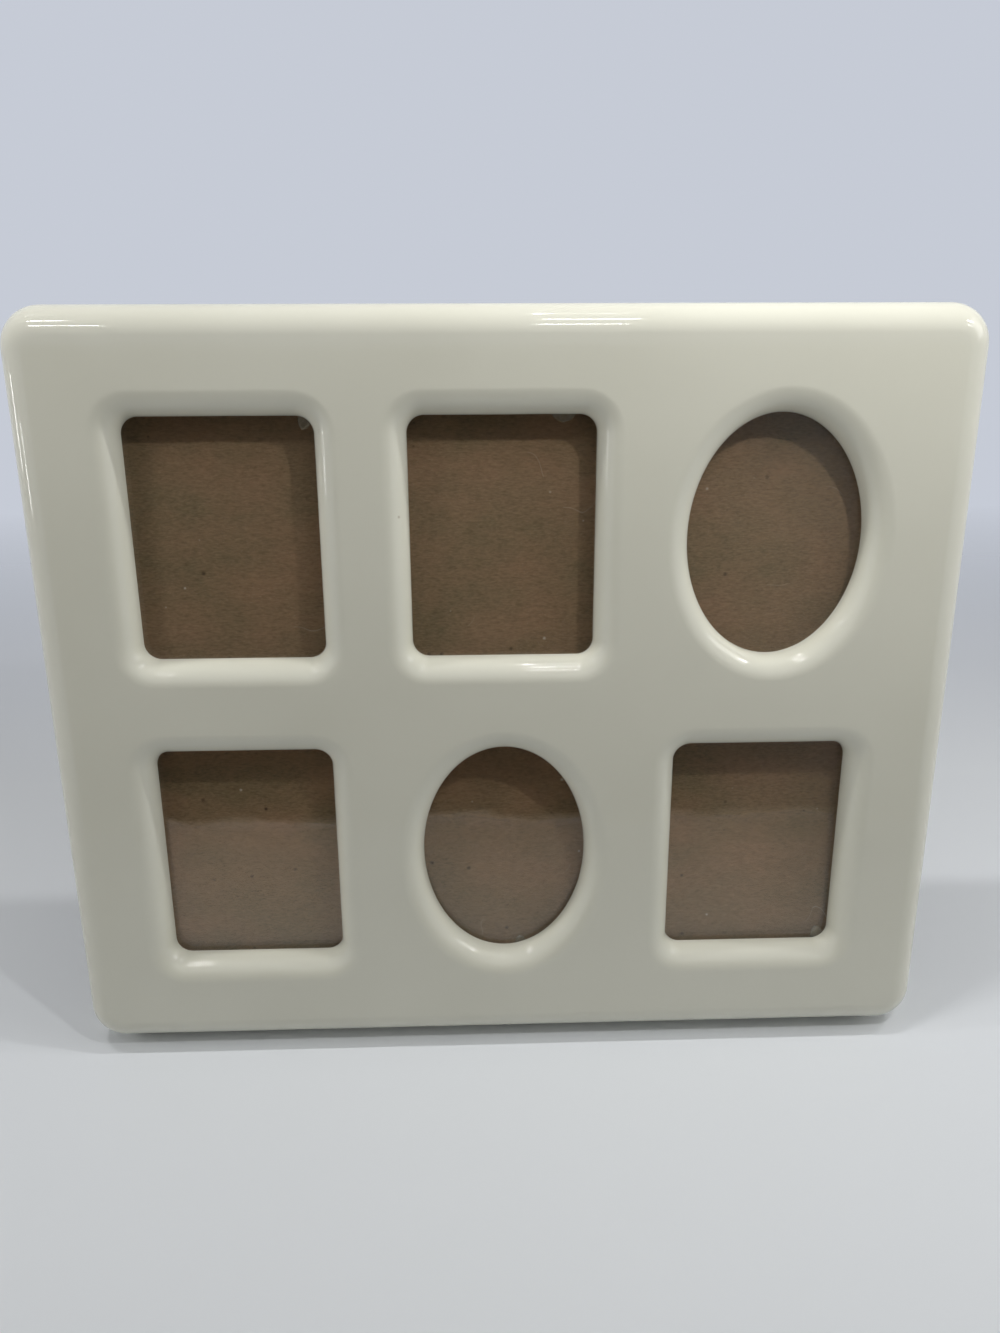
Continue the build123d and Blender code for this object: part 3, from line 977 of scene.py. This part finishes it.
# %% The outline of the leg
leg_gap = 0.4 * mm
leg_board = 2 * mm
leg_top_width = 44 * mm
leg_foot_width = 84 * mm
leg_corner = 6 * mm
leg_top_gap = 3.2 * mm
leg_rivet_drop = 16 * mm
knuckle_radius = 2 * mm
corner_turns = 8
leg_front = casting_depth + leg_gap
leg_back = leg_front + leg_board + 2 * flock_thickness
opening = -math.radians(pivots["easel"]["range_deg"][0])
foot_tilt = opening - math.radians(lean)
pivot_height = pivots["easel"]["pos_m"][2]
leg_top = hinge_place.z - leg_top_gap
leg_foot = hinge_place.z - (pivot_height + knuckle_radius * math.sin(foot_tilt)) / math.cos(foot_tilt)


def rounded_polygon(corners, radius, steps=corner_turns):
    """Points of an anticlockwise polygon with rounded corners, each as (x, z, outward x, outward z)."""
    points = []
    for before, corner, after in zip(corners[-1:] + corners[:-1], corners, corners[1:] + corners[:1]):
        arriving = (Vector(corner) - Vector(before)).normalized()
        leaving = (Vector(after) - Vector(corner)).normalized()
        first = Vector((arriving.y, -arriving.x))
        last = Vector((leaving.y, -leaving.x))
        centre = Vector(corner) - (first + last) * radius / (1 + first.dot(last))
        start = math.atan2(first.y, first.x)
        turn = math.acos(max(-1.0, min(1.0, first.dot(last))))
        for step in range(steps + 1):
            angle = start + turn * step / steps
            way = (math.cos(angle), math.sin(angle))
            points.append((centre.x + radius * way[0], centre.y + radius * way[1], *way))
    return points


leg_outline = rounded_polygon([
    (leg_top_width / 2, leg_top), (-leg_top_width / 2, leg_top),
    (-leg_foot_width / 2, leg_foot), (leg_foot_width / 2, leg_foot),
], leg_corner)
print(f"leg: {(leg_top - leg_foot) / mm:.0f} mm long, opens {math.degrees(opening):.0f} degrees")

# %% Facings of the leg
edges = [(leg_outline, face_centre, solid)]
for side in (-leaf_spacing / 2, leaf_spacing / 2):
    edges.append((hole_outline(rivet_hole), (side, leg_top - leg_rivet_drop), hole))
mesh = bmesh.new()
add_facing(mesh, edges, leg_front + flock_thickness, leg_front)
add_facing(mesh, edges, leg_back - flock_thickness, leg_back)
to_hinge = Matrix.Translation((0, hinge_place.y, hinge_place.z))
mesh.transform(upright @ to_hinge @ Matrix.Rotation(opening, 4, "X") @ to_hinge.inverted())
everything = mesh.verts[:] + mesh.edges[:] + mesh.faces[:]
cut = bmesh.ops.bisect_plane(mesh, geom=everything, plane_co=(0, 0, 0), plane_no=(0, 0, 1), clear_inner=True)
loops = [item for item in cut["geom_cut"] if isinstance(item, bmesh.types.BMEdge)]
bmesh.ops.holes_fill(mesh, edges=loops)
finish_flock("flocked_leg", mesh, "easel", "leg_velour", Matrix())

# %% [markdown]
# Brass-plated fittings
#
# The hinge, turn-buttons, hanger and rivets are thin pressed steel with a flash of brass. The plating is
# bright on the flats, dulled in patches by handling, dark where dirt gathers and worn to grey steel along
# the edges. A press leaves no knife edges either. A bevel modifier would round them, but on thin plates with
# rivet holes it leaves slivers that show in the metal. The Bevel node rounds only the shading: it blends the
# normals of faces that meet at an edge, and where its normal leaves the true one, the plating is worn.

# %% Brass material
brass_dull = paint(0.70, 0.49, 0.21)
brass_bright = paint(0.80, 0.60, 0.29)
grime_brown = paint(0.24, 0.15, 0.06)
bare_steel = paint(0.60, 0.58, 0.54)
worn_edge = 0.3 * mm
wear_turn = (0.80, 0.97)
most_wear = 0.7
grime_reach = 1.5 * mm
grime_span = (0.45, 0.95)
most_grime = 0.75
brass_roughness = (0.36, 0.20)
grime_roughness = 0.3
rolling_height = 0.006 * mm

brass_material, tree, output = new_material("worn_brass")
place = object_place(tree)
tarnish = add_effect(tree, patch_group, place, Scale=160.0, Detail=4.0)
rolling = add_effect(tree, fibre_group, place, Fineness=3000.0, Stretch=0.05, Detail=2.0)
softened = add_node(tree, "ShaderNodeBevel", Radius=worn_edge).outputs["Normal"]
true_normal = add_node(tree, "ShaderNodeNewGeometry").outputs["True Normal"]
alike = add_vector_sum(tree, "DOT_PRODUCT", softened, true_normal, "Value")
bare = add_range(tree, alike, *wear_turn, most_wear, 0.0)
openness = add_node(tree, "ShaderNodeAmbientOcclusion", Distance=grime_reach).outputs["AO"]
grime = add_range(tree, openness, *grime_span, most_grime, 0.0)
plate = add_tint(tree, tarnish, brass_dull, brass_bright)
plate = add_tint(tree, grime, plate, grime_brown)
plate = add_tint(tree, bare, plate, bare_steel)
polish = add_range(tree, tarnish, 0.0, 1.0, *brass_roughness)
polish = add_sum(tree, "ADD", polish, add_sum(tree, "MULTIPLY", grime, grime_roughness))
add_surface(
    tree, output, Base_Color=plate, Metallic=1.0, Roughness=polish,
    Normal=add_bump(tree, rolling, rolling_height, Normal=softened),
)
fittings = [name for name in frame["nodes"] if name.startswith(("turn_button", "hinge", "sawtooth"))]
fittings += [name for name in frame["nodes"] if name.endswith("_rivets") and name not in fittings]
dress(brass_material, *fittings)

# %% [markdown]
# Set glue
#
# Each pane is held from behind by four beads of clear glue, pressed in along the ends of its pocket. A few
# were pressed too hard and crept out into the window, where they show as pale lumps behind the glass. The
# measured beads are plain wedges. Here each is a row of rings over the pane, with a flat foot, a swell that
# dies away at both ends, and a little luck from a seeded draw, so that no two are alike.

# %% Glue material
glue_deep = paint(0.62, 0.54, 0.40)
glue_pale = paint(0.74, 0.68, 0.55)
lump_height = 0.08 * mm

glue_material, tree, output = new_material("clear_glue")
place = object_place(tree)
lumps = add_effect(tree, patch_group, place, Scale=900.0, Detail=2.0)
amber = add_tint(tree, lumps, glue_deep, glue_pale)
add_surface(
    tree, output, Base_Color=amber, Roughness=0.18, IOR=1.49, Transmission_Weight=0.6,
    Normal=add_bump(tree, lumps, lump_height),
)
print("glue is ready")

# %% A helper for beads
bead_sections = 12
bead_sides = 12
bead_end = 0.06
bead_fullness = 0.55
swell_luck = (0.9, 1.05)
glue_seed = 4
draw = random.Random(glue_seed)


def add_bead(mesh, start, end, width, height):
    """A lumpy bead on the back of a pane, from one face-on point to another."""
    along = (end - start).normalized()
    across = Vector((-along.y, along.x))
    rings = []
    for section in range(bead_sections + 1):
        share = section / bead_sections
        swell = bead_end + (1 - bead_end) * math.sin(math.pi * share) ** bead_fullness
        swell *= draw.uniform(*swell_luck)
        middle = start + (end - start) * share
        ring = []
        for side in range(bead_sides):
            angle = 2 * math.pi * side / bead_sides
            spot = middle + across * (math.cos(angle) * swell * width / 2)
            rise = max(math.sin(angle), 0.0) * swell * height
            ring.append(mesh.verts.new((spot.x, pane_back + rise, spot.y)))
        rings.append(ring)
    add_strips(mesh, rings)
    mesh.faces.new(rings[0])
    mesh.faces.new(rings[-1])


print("a bead has", bead_sections + 1, "rings")

# %% Beads behind the panes
bead_length = 9 * mm
bead_width = 2.4 * mm
bead_height = 2 * mm
bead_offset = 19 * mm
bead_line = (pocket_size[1] - bead_width) / 2
length_luck = (0.85, 1.0)
height_luck = (0.8, 1.0)
creep_height = 0.8 * mm
# Start and end of each creep from the middle of its window, and its width, in millimetres
creeps = {
    "top_left": ((29.0, 43.5), (26.0, 34.6), 5.0),
    "top_middle": ((20.0, 44.5), (19.0, 36.4), 8.5),
    "bottom_middle": ((7.0, -44.5), (5.5, -36.2), 5.0),
    "bottom_right": ((29.0, -43.5), (26.2, -34.8), 5.0),
}

mesh = bmesh.new()
for name, (across, up) in windows.items():
    for side in (-bead_offset, bead_offset):
        for line in (bead_line, -bead_line):
            half = Vector((bead_length / 2 * draw.uniform(*length_luck), 0))
            centre = Vector((across + side, up + line))
            add_bead(mesh, centre - half, centre + half, bead_width, bead_height * draw.uniform(*height_luck))
    if name in creeps:
        start, end, width = creeps[name]
        window = Vector((across, up))
        add_bead(mesh, window + Vector(start) * mm, window + Vector(end) * mm, width * mm, creep_height)
glue = add_piece("set_glue", mesh, "frame", (glue_material,))
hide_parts("pane_glue_dabs")
print("beads of glue:", 4 * len(windows) + len(creeps))
